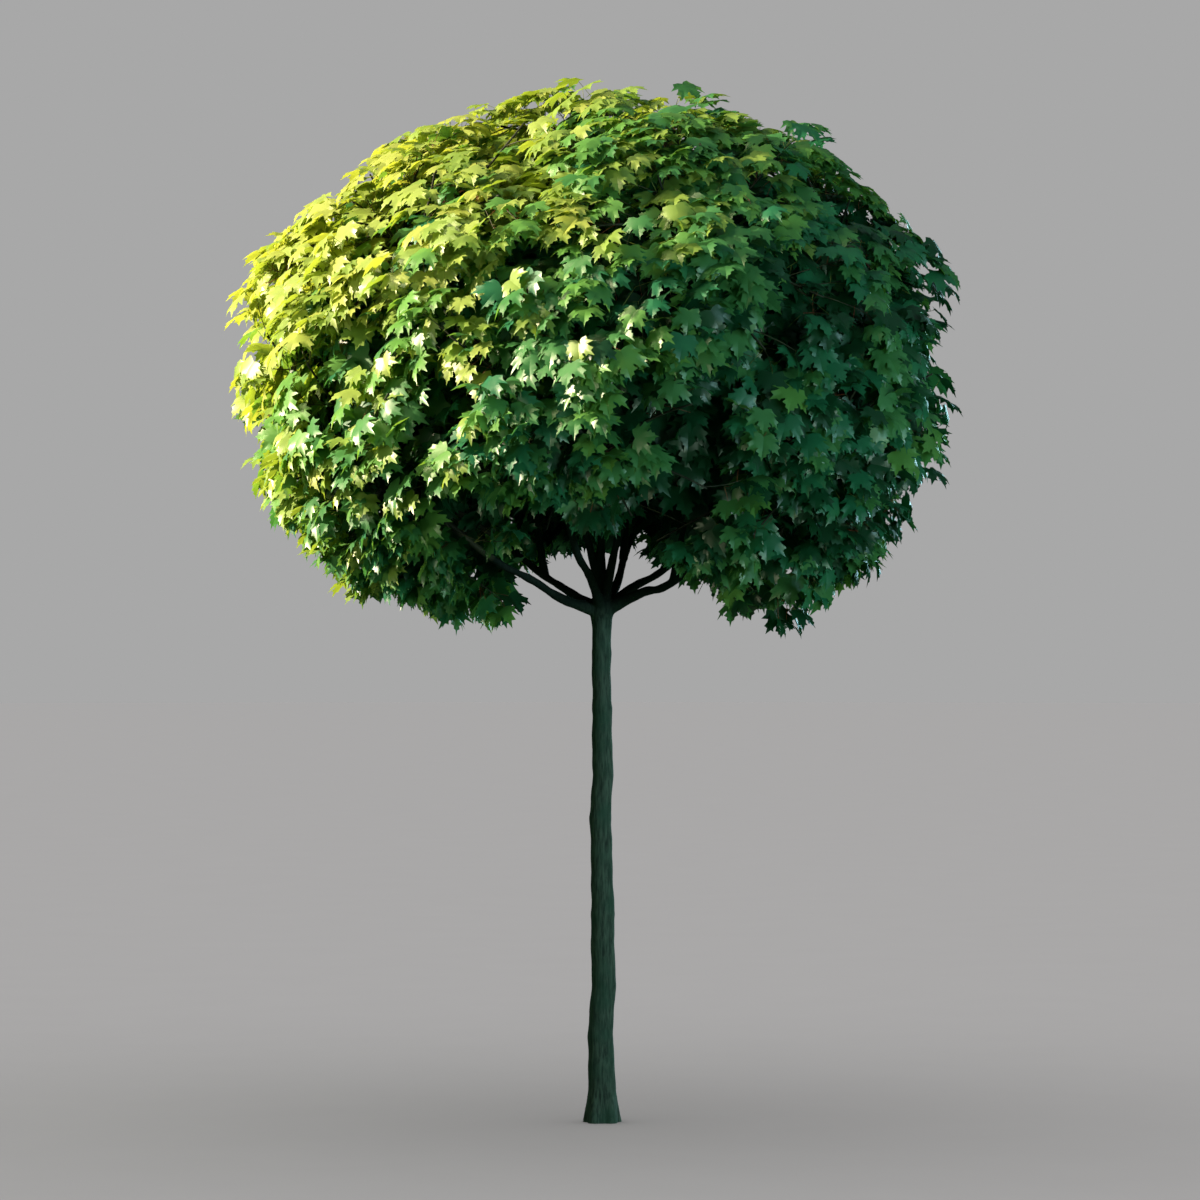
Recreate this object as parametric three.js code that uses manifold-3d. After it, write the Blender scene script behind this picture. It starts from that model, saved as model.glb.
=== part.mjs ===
// A ball-headed maple on a clear stem: one straight trunk, a swollen head where the crown was grafted on,
// nine boughs from that head, three side limbs, and twelve masses of foliage that share one flattened ball.
// Millimetres, +Z up. The origin is the middle of the flat cut at ground level, and -Y is the tree's front.

import * as THREE from "three";
import { mergeVertices } from "three/addons/utils/BufferGeometryUtils.js";
import Module from "manifold-3d";

const wasm = await Module();
wasm.setup();

// Trunk: [height, radius, sideways wander of the axis], from the flared foot to the domed graft head
const TRUNK_STATIONS = [
  [0, 70, 0],
  [35, 66, 0],
  [150, 61, 0],
  [380, 54, -9],
  [600, 54, 6],
  [1040, 49, 0],
  [1330, 46, -8],
  [1520, 46, 2],
  [1860, 42, -2],
  [2150, 42, -4],
  [2205, 47, -3],
  [2240, 58, 0],
  [2268, 60, 0],
  [2292, 46, 0],
];
const TRUNK_SIDES = 12;
const FLARE_HEIGHT = 260; // root swellings fade out by here
const FLARE_SWELL = 6; // how far each root swelling stands out at the ground
const ROOT_SWELLINGS = 5;

// Crown: a flattened ball whose lower half is boxy and hangs lower at the sides than front and back
const CROWN_CENTRE = new THREE.Vector3(-18, 0, 3360);
const CROWN_HALF_WIDTH = 1600;
const CROWN_RISE = 1210; // centre to top
const CROWN_DROP_SIDES = 1200; // centre to the lowest leaves, at left and right
const CROWN_DROP_FRONT = 880; // and at the front and back
const DOME_POWER = 2;
const SKIRT_POWER = 2.5;
const OPENING_RADIUS = 560; // the crown is open round the trunk, where the boughs run out and up
const OPENING_TOP = 2950;

// Limbs
const HEAD_CENTRE = new THREE.Vector3(0, 0, 2236);
const LIMB_SIDES = 6;
const LIMB_STEPS = 8;
const SEAT_GAP = 0.3; // clearance where one piece of wood meets the next
// azimuth from +X towards +Y, reach out from the axis, rise above the head, steepness, and wave on the way
const BOUGHS = [
  { name: "bough_front_right", azimuth: -28, reach: 535, rise: 236, steep: 0.85, wave: 24, root: 22, tip: 15 },
  { name: "bough_back_right", azimuth: 31, reach: 530, rise: 330, steep: 1.0, wave: 12, root: 20, tip: 14 },
  { name: "bough_back", azimuth: 68, reach: 520, rise: 470, steep: 0.9, wave: -10, root: 20, tip: 14 },
  { name: "bough_back_left", azimuth: 148, reach: 530, rise: 310, steep: 0.85, wave: 8, root: 20, tip: 14 },
  { name: "bough_front_left", azimuth: 206, reach: 535, rise: 232, steep: 0.75, wave: -8, root: 22, tip: 15 },
  { name: "bough_front", azimuth: 250, reach: 515, rise: 470, steep: 0.95, wave: 10, root: 20, tip: 14 },
  { name: "bough_top", azimuth: 190, reach: 60, rise: 1760, steep: 1.0, wave: 22, root: 21, tip: 11 },
  { name: "bough_upper_front_right", azimuth: 300, reach: 760, rise: 1350, steep: 1.25, wave: 16, root: 19, tip: 11 },
  { name: "bough_upper_front_left", azimuth: 219, reach: 760, rise: 1350, steep: 1.6, wave: -18, root: 19, tip: 11 },
];
// each side limb leaves its host bough at a share of the bough's length
const SIDE_LIMBS = [
  { name: "limb_upper_right", host: "bough_front_right", leaves: 0.66, azimuth: 0, reach: 780, rise: 1370 },
  { name: "limb_upper_back_right", host: "bough_back", leaves: 0.5, azimuth: 72, reach: 780, rise: 1370 },
  { name: "limb_upper_back_left", host: "bough_back_left", leaves: 0.55, azimuth: 144, reach: 780, rise: 1370 },
];
const SIDE_LIMB_ROOT = 14;
const SIDE_LIMB_TIP = 10;

// Foliage: each mass keeps to the space nearer to its own site than to any other
const LOWER_RADIUS = 1010;
const LOWER_HEIGHT = 2960;
const UPPER_RADIUS = 900;
const UPPER_HEIGHT = 3750;
const TOP_HEIGHT = 4080;
const MASSES = [
  { name: "foliage_back_right", azimuth: 30, ring: "lower", fedBy: "bough_back_right" },
  { name: "foliage_back", azimuth: 90, ring: "lower", fedBy: "bough_back" },
  { name: "foliage_back_left", azimuth: 150, ring: "lower", fedBy: "bough_back_left" },
  { name: "foliage_front_left", azimuth: 210, ring: "lower", fedBy: "bough_front_left" },
  { name: "foliage_front", azimuth: 270, ring: "lower", fedBy: "bough_front" },
  { name: "foliage_front_right", azimuth: 330, ring: "lower", fedBy: "bough_front_right" },
  { name: "foliage_upper_right", azimuth: 0, ring: "upper", fedBy: "limb_upper_right" },
  { name: "foliage_upper_back_right", azimuth: 72, ring: "upper", fedBy: "limb_upper_back_right" },
  { name: "foliage_upper_back_left", azimuth: 144, ring: "upper", fedBy: "limb_upper_back_left" },
  { name: "foliage_upper_front_left", azimuth: 216, ring: "upper", fedBy: "bough_upper_front_left" },
  { name: "foliage_upper_front_right", azimuth: 288, ring: "upper", fedBy: "bough_upper_front_right" },
  { name: "foliage_top", azimuth: 0, ring: "top", fedBy: "bough_top" },
];
const SPACE_MARGIN = 5; // half the least gap between two masses
const LIMB_CLEARANCE = 10; // foliage stays this far off the limbs
// The core is a thick shell of dense leaves: its faces lie at these shares of the way out to the crown's surface
const CORE_OUTER = 0.85;
const CORE_INNER = 0.7;
const CORE_UNDER_DROP = 0.06; // how much lower it is right underneath, to leave room for hanging leaves
const CORE_EDGE_DROP = 0.08; // and along its mass's edges, so that each mass is domed
const CORE_DOME = 260; // how far in from the edge it has risen to its full height
const CORE_MARGIN = 12; // the core stays this far inside its mass's space
const CORE_DETAIL = 4;
const HEART_DETAIL = 1;
const STEM_END = 0.78; // the stem ends at this share, in the thick of the core
const STEM_SIDES = 6;
const STEM_END_RADIUS = 9;

// Twigs and leaves
const TWIG_TIPS = 126; // tips dealt out over the whole ball by a golden-angle spiral
const TIP_INSET = 34; // they lie this far inside the crown's surface
const LOWEST_TIP = -0.93; // no twig points more steeply down than this vertical share
const TWIG_ROOT_RADIUS = 13;
const TWIG_TIP_RADIUS = 9;
const TWIG_END = 12; // a twig goes on this far past its last leaf
const LEAF_LENGTH = 320;
const LEAF_SPREAD = 0.14; // how much leaf lengths vary either way
const LEAF_THICKNESS = 8;
const LEAF_TURNS = [0, 1.4, -1.4]; // the end leaf, then the pair behind it, turned out from the end leaf
const LEAF_SEATS = [0, 40, 80, 120, 160]; // places to try for a leaf, back from the twig's tip
const LEAF_SWINGS = [0, 0.5, -0.5]; // and turns to try at each

// The outline of a five-lobed leaf on its stalk, one half: [along the midrib, out from it, droop], in leaf lengths
const LEAF_TIP = [1, 0, -0.16];
const LEAF_HALF = [
  [0.66, 0.13, -0.05],
  [0.76, 0.42, -0.14],
  [0.5, 0.27, -0.05],
  [0.3, 0.42, -0.11],
  [0.24, 0.035, 0],
];
const LEAF_HUB = 0.44;

const UP = new THREE.Vector3(0, 0, 1);
const GOLDEN_ANGLE = Math.PI * (3 - Math.sqrt(5));

// Helpers

// A repeatable number from 0 to 1 for each seed.
function chance(seed) {
  const wave = Math.sin(seed * 127.1 + 311.7) * 43758.5453;
  return wave - Math.floor(wave);
}

function chanceBetween(seed, low, high) {
  return low + (high - low) * chance(seed);
}

function onAzimuth(degrees, radius, height) {
  const turn = THREE.MathUtils.degToRad(degrees);
  return new THREE.Vector3(radius * Math.cos(turn), radius * Math.sin(turn), height);
}

// Only the positions, with the corners that lie on one another merged.
function welded(geometry) {
  const bare = new THREE.BufferGeometry();
  bare.setAttribute("position", geometry.getAttribute("position"));
  bare.setIndex(geometry.getIndex());
  return mergeVertices(bare, 1e-4);
}

// A closed geometry as a solid that can be joined and cut.
function solidOf(geometry) {
  const merged = welded(geometry);
  return new wasm.Manifold(
    new wasm.Mesh({
      numProp: 3,
      vertProperties: merged.getAttribute("position").array,
      triVerts: new Uint32Array(merged.getIndex().array),
    }),
  );
}

// The largest body of a solid: a sealed hollow is filled and a loose scrap is dropped.
function largestBody(solid) {
  return solid.decompose().sort((a, b) => b.volume() - a.volume())[0];
}

function geometryOf(solid) {
  const mesh = solid.getMesh();
  const positions = new Float32Array(mesh.numVert * 3);
  for (let i = 0; i < mesh.numVert; i += 1) {
    positions.set(mesh.vertProperties.subarray(i * mesh.numProp, i * mesh.numProp + 3), i * 3);
  }
  const geometry = new THREE.BufferGeometry();
  geometry.setAttribute("position", new THREE.BufferAttribute(positions, 3));
  geometry.setIndex(new THREE.BufferAttribute(mesh.triVerts, 1));
  geometry.computeVertexNormals();
  return geometry;
}

// A round limb along a curve: a cylinder bent to the curve, its radius given at each share of the length.
function limbGeometry(curve, radiusAt, sides, steps) {
  const geometry = new THREE.CylinderGeometry(1, 1, 1, sides, steps);
  const frames = curve.computeFrenetFrames(steps);
  const position = geometry.getAttribute("position");
  for (let i = 0; i < position.count; i += 1) {
    const share = position.getY(i) + 0.5;
    const step = Math.round(share * steps);
    const radius = radiusAt(share);
    const point = curve.getPointAt(share);
    point.addScaledVector(frames.normals[step], position.getX(i) * radius);
    point.addScaledVector(frames.binormals[step], -position.getZ(i) * radius);
    position.setXYZ(i, point.x, point.y, point.z);
  }
  return geometry;
}

function evenTaper(root, tip) {
  return (share) => THREE.MathUtils.lerp(root, tip, share);
}

// Trunk

function trunkAt(height) {
  let k = 1;
  while (k < TRUNK_STATIONS.length - 1 && TRUNK_STATIONS[k][0] < height) {
    k += 1;
  }
  const [lowHeight, lowRadius, lowWander] = TRUNK_STATIONS[k - 1];
  const [highHeight, highRadius, highWander] = TRUNK_STATIONS[k];
  const share = THREE.MathUtils.smoothstep(height, lowHeight, highHeight);
  return {
    radius: THREE.MathUtils.lerp(lowRadius, highRadius, share),
    wander: THREE.MathUtils.lerp(lowWander, highWander, share),
  };
}

// The trunk, or with some growth the space round it that limbs keep out of. The foot is cut flat at the ground.
function trunkGeometry(grow) {
  const heights = [];
  for (let k = 1; k < TRUNK_STATIONS.length; k += 1) {
    const [low] = TRUNK_STATIONS[k - 1];
    const [high] = TRUNK_STATIONS[k];
    heights.push(low);
    if (high - low > 300) {
      heights.push((low + high) / 2);
    }
  }
  heights.push(TRUNK_STATIONS.at(-1)[0]);
  const steps = heights.length - 1;
  const geometry = new THREE.CylinderGeometry(1, 1, 1, TRUNK_SIDES, steps);
  const position = geometry.getAttribute("position");
  for (let i = 0; i < position.count; i += 1) {
    const step = Math.round((position.getY(i) + 0.5) * steps);
    const height = heights[step];
    const { radius, wander } = trunkAt(height);
    const across = position.getX(i);
    const back = -position.getZ(i);
    const fade = Math.max(0, 1 - height / FLARE_HEIGHT) ** 2;
    const swell = fade * FLARE_SWELL * Math.cos(ROOT_SWELLINGS * Math.atan2(back, across));
    const reach = radius + swell + grow;
    const lift = step === steps ? grow : 0;
    position.setXYZ(i, across * reach + wander, back * reach, height + lift);
  }
  return geometry;
}

// Limbs

// A bough's way from the head: out and up together, with a slight wave. A steep one rises before it spreads.
function boughCurve({ azimuth, reach, rise, steep, wave }) {
  const points = [];
  const count = 6;
  for (let k = 0; k <= count; k += 1) {
    const share = k / count;
    const sway = wave * Math.sin(share * Math.PI * 2.6) * Math.sin(share * Math.PI);
    const point = onAzimuth(azimuth, reach * share ** steep, HEAD_CENTRE.z + rise * share + sway);
    points.push(point.add(onAzimuth(azimuth + 90, sway, 0)));
  }
  return new THREE.CatmullRomCurve3(points);
}

// A side limb starts inside its host bough, leaves it steeply, and ends below its own mass.
function sideLimbCurve(start, { azimuth, reach, rise }) {
  const end = onAzimuth(azimuth, reach, HEAD_CENTRE.z + rise);
  const points = [start];
  for (const [out, up] of [[0.16, 0.3], [0.46, 0.66]]) {
    const point = start.clone().lerp(end, out);
    point.z = THREE.MathUtils.lerp(start.z, end.z, up);
    points.push(point);
  }
  return new THREE.CatmullRomCurve3([...points, end]);
}

function makeLimbs() {
  const limbs = BOUGHS.map((bough) => ({
    name: bough.name,
    curve: boughCurve(bough),
    radiusAt: evenTaper(bough.root, bough.tip),
  }));
  for (const side of SIDE_LIMBS) {
    const host = limbs.find((limb) => limb.name === side.host);
    limbs.push({
      name: side.name,
      curve: sideLimbCurve(host.curve.getPointAt(side.leaves), side),
      radiusAt: evenTaper(SIDE_LIMB_ROOT, SIDE_LIMB_TIP),
    });
  }
  return limbs;
}

function grownLimb(limb, grow) {
  return solidOf(limbGeometry(limb.curve, (share) => limb.radiusAt(share) + grow, LIMB_SIDES, LIMB_STEPS));
}

// Each limb is cut back to clear the trunk and the limbs before it by the seat gap.
function cutLimbs(limbs) {
  const taken = [solidOf(trunkGeometry(SEAT_GAP))];
  for (const limb of limbs) {
    limb.solid = largestBody(grownLimb(limb, 0).subtract(wasm.Manifold.union(taken)));
    taken.push(grownLimb(limb, SEAT_GAP));
  }
}

// Crown

// How far the crown's surface lies from its centre in a direction.
function crownReach(direction) {
  const level = Math.hypot(direction.x, direction.y);
  const frontness = level > 0 ? (direction.y / level) ** 2 : 0;
  const drop = THREE.MathUtils.lerp(CROWN_DROP_SIDES, CROWN_DROP_FRONT, frontness);
  const height = direction.z > 0 ? CROWN_RISE : drop;
  const power = direction.z > 0 ? DOME_POWER : SKIRT_POWER;
  const sum = (level / CROWN_HALF_WIDTH) ** power + (Math.abs(direction.z) / height) ** power;
  return sum ** (-1 / power);
}

function crownPoint(direction, share) {
  return direction.clone().multiplyScalar(crownReach(direction) * share).add(CROWN_CENTRE);
}

// 0 at the crown's centre and 1 on its surface.
function crownShare(point) {
  const offset = point.clone().sub(CROWN_CENTRE);
  const distance = offset.length();
  return distance < 1 ? 0 : distance / crownReach(offset.divideScalar(distance));
}

function massSite({ ring, azimuth }) {
  const sites = {
    lower: onAzimuth(azimuth, LOWER_RADIUS, LOWER_HEIGHT),
    upper: onAzimuth(azimuth, UPPER_RADIUS, UPPER_HEIGHT),
    top: new THREE.Vector3(0, 0, TOP_HEIGHT),
  };
  return sites[ring].add(new THREE.Vector3(CROWN_CENTRE.x, 0, 0));
}

// How deep a point lies inside a mass's own space; less than 0 outside it.
function depthInSpace(point, mass, masses) {
  let depth = Infinity;
  for (const other of masses) {
    if (other !== mass) {
      const across = other.site.clone().sub(mass.site);
      const halfway = across.length() / 2;
      depth = Math.min(depth, halfway - across.normalize().dot(point.clone().sub(mass.site)));
    }
  }
  return depth;
}

function nearestMass(point, masses) {
  return masses.reduce((best, mass) => (mass.site.distanceTo(point) < best.site.distanceTo(point) ? mass : best));
}

// Cores

// The crown's surface drawn in to a share of its size, as a closed ball.
function ballGeometry(detail, shareAt) {
  const geometry = welded(new THREE.IcosahedronGeometry(1, detail));
  const position = geometry.getAttribute("position");
  for (let i = 0; i < position.count; i += 1) {
    const direction = new THREE.Vector3().fromBufferAttribute(position, i).normalize();
    const point = crownPoint(direction, shareAt(direction));
    position.setXYZ(i, point.x, point.y, point.z);
  }
  return geometry;
}

// The thick shell that all the cores are cut from: domed over each mass, hollow, and open round the trunk.
function shellSolid(masses) {
  const domed = (direction) => {
    const point = crownPoint(direction, CORE_OUTER);
    const depth = depthInSpace(point, nearestMass(point, masses), masses);
    const edge = 1 - THREE.MathUtils.smoothstep(depth, 0, CORE_DOME);
    return CORE_OUTER - CORE_EDGE_DROP * edge - CORE_UNDER_DROP * Math.max(0, -direction.z);
  };
  const outer = solidOf(ballGeometry(CORE_DETAIL, domed));
  const heart = solidOf(ballGeometry(HEART_DETAIL, () => CORE_INNER));
  const opening = new THREE.CylinderGeometry(OPENING_RADIUS, OPENING_RADIUS, 1000, 20);
  opening.rotateX(Math.PI / 2).translate(0, 0, OPENING_TOP - 500);
  return outer.subtract(heart).subtract(solidOf(opening));
}

// The part of the shell that lies in a mass's own space, clear of the limbs.
function coreSolid(mass, masses, shell, limbSpace) {
  const size = 4 * CROWN_HALF_WIDTH;
  const beyond = [limbSpace];
  for (const other of masses) {
    if (other !== mass) {
      const across = other.site.clone().sub(mass.site);
      const start = across.length() / 2 - CORE_MARGIN;
      across.normalize();
      const box = new THREE.BoxGeometry(size, size, size).translate(0, 0, size / 2 + start);
      box.applyQuaternion(new THREE.Quaternion().setFromUnitVectors(UP, across));
      beyond.push(solidOf(box.translate(mass.site.x, mass.site.y, mass.site.z)));
    }
  }
  return largestBody(shell.subtract(wasm.Manifold.union(beyond)));
}

// Leaves

// A leaf as a thin closed star: a fan above and a fan below share the outline.
function leafGeometry({ root, face, along, length }) {
  const across = new THREE.Vector3().crossVectors(face, along);
  const place = ([forward, out, rise]) =>
    root
      .clone()
      .addScaledVector(along, forward * length)
      .addScaledVector(across, out * length)
      .addScaledVector(face, rise * length);
  const half = LEAF_THICKNESS / 2 / length;
  const mirrored = LEAF_HALF.map(([forward, out, rise]) => [forward, -out, rise]).reverse();
  const outline = [LEAF_TIP, ...LEAF_HALF, [0, 0, 0], ...mirrored];
  const points = [...outline, [LEAF_HUB, 0, half], [LEAF_HUB, 0, -half]].map(place);
  const index = [];
  const count = outline.length;
  for (let k = 0; k < count; k += 1) {
    const next = (k + 1) % count;
    index.push(k, next, count);
    index.push(next, k, count + 1);
  }
  const geometry = new THREE.BufferGeometry().setFromPoints(points);
  geometry.setIndex(index);
  return geometry;
}

// A leaf hangs with its upper face out and up, flatter towards the top of the crown, and its tip out and down.
function poseLeaf(root, outward, turn, seed) {
  const level = new THREE.Vector3(outward.x, outward.y, 0);
  const face = level.clone().multiplyScalar(chanceBetween(seed, 0.85, 1.25));
  face.z = 0.42 + 0.6 * Math.max(outward.z, 0);
  face.x += chanceBetween(seed + 1, -0.25, 0.25);
  face.y += chanceBetween(seed + 2, -0.25, 0.25);
  face.normalize();
  const along = level.addScaledVector(UP, -0.7);
  along.x += chanceBetween(seed + 3, -0.3, 0.3);
  along.y += chanceBetween(seed + 4, -0.3, 0.3);
  along.addScaledVector(face, -along.dot(face)).normalize();
  along.applyAxisAngle(face, turn + chanceBetween(seed + 5, -0.25, 0.25));
  const length = LEAF_LENGTH * chanceBetween(seed + 6, 1 - LEAF_SPREAD, 1 + LEAF_SPREAD);
  return { root, face, along, length };
}

function keepsToSpace(geometry, mass, masses) {
  const position = geometry.getAttribute("position");
  for (let i = 0; i < position.count; i += 1) {
    const corner = new THREE.Vector3().fromBufferAttribute(position, i);
    if (depthInSpace(corner, mass, masses) < SPACE_MARGIN || crownShare(corner) > 1) {
      return false;
    }
  }
  return true;
}

// The first seat along the twig where a leaf keeps to its space, off the limbs and off the leaves before it.
function seatLeaf(twig, turn, seed, mass, masses, taken) {
  for (const back of LEAF_SEATS) {
    const root = twig.tip.clone().addScaledVector(twig.along, -back - TWIG_END);
    for (const swing of LEAF_SWINGS) {
      const geometry = leafGeometry(poseLeaf(root, twig.outward, turn + swing, seed + back));
      if (keepsToSpace(geometry, mass, masses)) {
        const solid = solidOf(geometry);
        if (taken.every((other) => solid.intersect(other).isEmpty())) {
          return { solid, back };
        }
      }
    }
  }
  return null;
}

// Masses

// The tips of all twigs, spread evenly over the ball, with the way that the crown's surface faces there.
function twigTips() {
  const tips = [];
  for (let k = 0; k < TWIG_TIPS; k += 1) {
    const rise = 1 - (2 * k + 1) / TWIG_TIPS;
    if (rise > LOWEST_TIP) {
      const onBall = onAzimuth(THREE.MathUtils.radToDeg(k * GOLDEN_ANGLE), Math.sqrt(1 - rise * rise), rise);
      const height = rise > 0 ? CROWN_RISE : CROWN_DROP_SIDES;
      const stretched = new THREE.Vector3(CROWN_HALF_WIDTH, CROWN_HALF_WIDTH, height);
      const direction = onBall.clone().multiply(stretched).normalize();
      const outward = onBall.clone().divide(stretched).normalize();
      const inset = TIP_INSET / crownReach(direction);
      tips.push({ seed: k * 29, outward, point: crownPoint(direction, 1 - inset) });
    }
  }
  return tips;
}

// The stem goes on from its limb's tip and bends into the thick of the core.
function stemCurve(mass, limb) {
  const along = limb.curve.getTangentAt(1);
  const start = limb.curve.getPointAt(1).addScaledVector(along, SEAT_GAP);
  const straight = [0, 15, 45].map((ahead) => start.clone().addScaledVector(along, ahead));
  const direction = mass.site.clone().sub(CROWN_CENTRE).normalize();
  return new THREE.CatmullRomCurve3([...straight, crownPoint(direction, STEM_END)]);
}

// One mass: the stem, its core, and the twigs that branch from the stem, each with a leaf at its end and a pair
// behind. A twig that can carry no leaf is left out.
function massSolid(mass, masses, tips, core, limb, limbSpace) {
  const stem = stemCurve(mass, limb);
  const stemTaper = evenTaper(limb.radiusAt(1), STEM_END_RADIUS);
  const wood = [solidOf(limbGeometry(stem, stemTaper, STEM_SIDES, 3)), core];
  const leaves = [];
  for (const tip of tips.filter((one) => nearestMass(one.point, masses) === mass)) {
    const from = stem.getPointAt(chanceBetween(tip.seed, 0.75, 1));
    const along = tip.point.clone().sub(from).normalize();
    const twig = { tip: tip.point, along, outward: tip.outward };
    const seats = [];
    LEAF_TURNS.forEach((turn, k) => {
      const leaf = seatLeaf(twig, turn, tip.seed + 7 * k, mass, masses, [limbSpace, ...leaves]);
      if (leaf) {
        leaves.push(leaf.solid);
        seats.push(leaf.back);
      }
    });
    if (seats.length > 0) {
      const end = tip.point.clone().addScaledVector(along, -Math.min(...seats));
      const line = new THREE.LineCurve3(from, end);
      wood.push(solidOf(limbGeometry(line, evenTaper(TWIG_ROOT_RADIUS, TWIG_TIP_RADIUS), 3, 1)));
    }
  }
  return largestBody(wasm.Manifold.union([...wood, ...leaves])).simplify(0.1);
}

// Assembly

const bark = new THREE.MeshStandardMaterial({ color: "#5d5a4c", roughness: 0.9, metalness: 0 });
const foliage = new THREE.MeshStandardMaterial({ color: "#4c7a2c", roughness: 0.55, metalness: 0 });

const tree = new THREE.Group();
tree.name = "ball_headed_maple";

function addPart(name, solid, material) {
  const mesh = new THREE.Mesh(geometryOf(solid), material);
  mesh.name = name;
  tree.add(mesh);
}

addPart("trunk", solidOf(trunkGeometry(0)), bark);

const limbs = makeLimbs();
cutLimbs(limbs);
for (const limb of limbs) {
  addPart(limb.name, limb.solid, bark);
}

const masses = MASSES.map((mass) => ({ ...mass, site: massSite(mass) }));
const shell = shellSolid(masses);
const limbSpace = wasm.Manifold.union(limbs.map((limb) => grownLimb(limb, LIMB_CLEARANCE)));
const tips = twigTips();
for (const mass of masses) {
  const limb = limbs.find((one) => one.name === mass.fedBy);
  const core = coreSolid(mass, masses, shell, limbSpace);
  addPart(mass.name, massSolid(mass, masses, tips, core, limb, limbSpace), foliage);
}

export default tree;
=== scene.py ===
# Dresses a ball-headed maple on a clear stem: one bark-covered piece for the trunk and boughs, twigs that
# grow on from them by the same rule as the solids', and some eleven thousand leaves on their stalks.
# Metres, +Z up, -Y towards the viewer of the photograph.

import math

import bpy
import numpy as np
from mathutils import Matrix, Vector
from mathutils.geometry import delaunay_2d_cdt


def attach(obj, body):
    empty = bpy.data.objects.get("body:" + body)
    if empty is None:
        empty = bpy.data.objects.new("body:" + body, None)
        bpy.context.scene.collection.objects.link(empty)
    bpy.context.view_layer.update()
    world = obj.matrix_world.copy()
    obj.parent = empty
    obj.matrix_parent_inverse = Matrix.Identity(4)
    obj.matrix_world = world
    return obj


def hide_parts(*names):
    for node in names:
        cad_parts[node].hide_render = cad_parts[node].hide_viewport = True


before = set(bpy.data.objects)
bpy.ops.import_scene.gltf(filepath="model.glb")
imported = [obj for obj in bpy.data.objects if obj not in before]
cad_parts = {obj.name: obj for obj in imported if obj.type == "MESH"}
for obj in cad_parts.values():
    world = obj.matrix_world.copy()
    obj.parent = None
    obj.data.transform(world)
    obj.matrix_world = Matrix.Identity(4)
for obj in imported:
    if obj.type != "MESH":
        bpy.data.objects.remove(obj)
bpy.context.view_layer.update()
scene = bpy.context.scene

# Camera: level with the middle of the tree, as in the photograph, through a long lens
TREE_HEIGHT = 4.57
FILL = 0.87  # the share of the picture's height that the tree takes
LENS = 150.0
SENSOR = 36.0
CAMERA_ASIDE = -0.01

camera_data = bpy.data.cameras.new("camera")
camera_data.lens = LENS
camera_data.sensor_width = SENSOR
camera = bpy.data.objects.new("camera", camera_data)
scene.collection.objects.link(camera)
camera.location = (CAMERA_ASIDE, -TREE_HEIGHT / FILL * LENS / SENSOR, TREE_HEIGHT / 2)
camera.rotation_euler = (math.radians(90), 0, 0)
scene.camera = camera
scene.view_settings.view_transform = "Standard"

# The solids' own sizes

# height, radius and sideways wander of the trunk's axis
TRUNK_STATIONS = [
    (-0.02, 0.072, 0.0),
    (0.0, 0.070, 0.0),
    (0.035, 0.066, 0.0),
    (0.15, 0.061, 0.0),
    (0.38, 0.054, -0.009),
    (0.60, 0.054, 0.006),
    (1.04, 0.049, 0.0),
    (1.33, 0.046, -0.008),
    (1.52, 0.046, 0.002),
    (1.86, 0.042, -0.002),
    (2.15, 0.042, -0.004),
    (2.205, 0.047, -0.003),
    (2.24, 0.058, 0.0),
    (2.268, 0.060, 0.0),
    (2.292, 0.046, 0.0),
]
HEAD_HEIGHT = 2.236
# azimuth, reach, rise above the head, steepness, wave, radius at the root and at the tip
BOUGHS = {
    "bough_front_right": (-28, 0.535, 0.236, 0.85, 0.024, 0.022, 0.015),
    "bough_back_right": (31, 0.530, 0.330, 1.0, 0.012, 0.020, 0.014),
    "bough_back": (68, 0.520, 0.470, 0.9, -0.010, 0.020, 0.014),
    "bough_back_left": (148, 0.530, 0.310, 0.85, 0.008, 0.020, 0.014),
    "bough_front_left": (206, 0.535, 0.232, 0.75, -0.008, 0.022, 0.015),
    "bough_front": (250, 0.515, 0.470, 0.95, 0.010, 0.020, 0.014),
    "bough_top": (190, 0.060, 1.760, 1.0, 0.022, 0.021, 0.011),
    "bough_upper_front_right": (300, 0.760, 1.350, 1.25, 0.016, 0.019, 0.011),
    "bough_upper_front_left": (219, 0.760, 1.350, 1.6, -0.018, 0.019, 0.011),
}
BOUGH_BENDS = 6  # a bough is drawn through the ends of this many stretches
BOUGH_WAVES = 1.3  # and sways this many times from side to side
# host bough, the share of it where the limb leaves, azimuth, reach and rise
SIDE_LIMBS = {
    "limb_upper_right": ("bough_front_right", 0.66, 0, 0.780, 1.370),
    "limb_upper_back_right": ("bough_back", 0.5, 72, 0.780, 1.370),
    "limb_upper_back_left": ("bough_back_left", 0.55, 144, 0.780, 1.370),
}
SIDE_LIMB_RADII = (0.014, 0.010)
# the shares of a side limb's reach and rise at its two bends, so that it climbs before it spreads
SIDE_LIMB_BENDS = ((0.16, 0.3), (0.46, 0.66))
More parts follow.
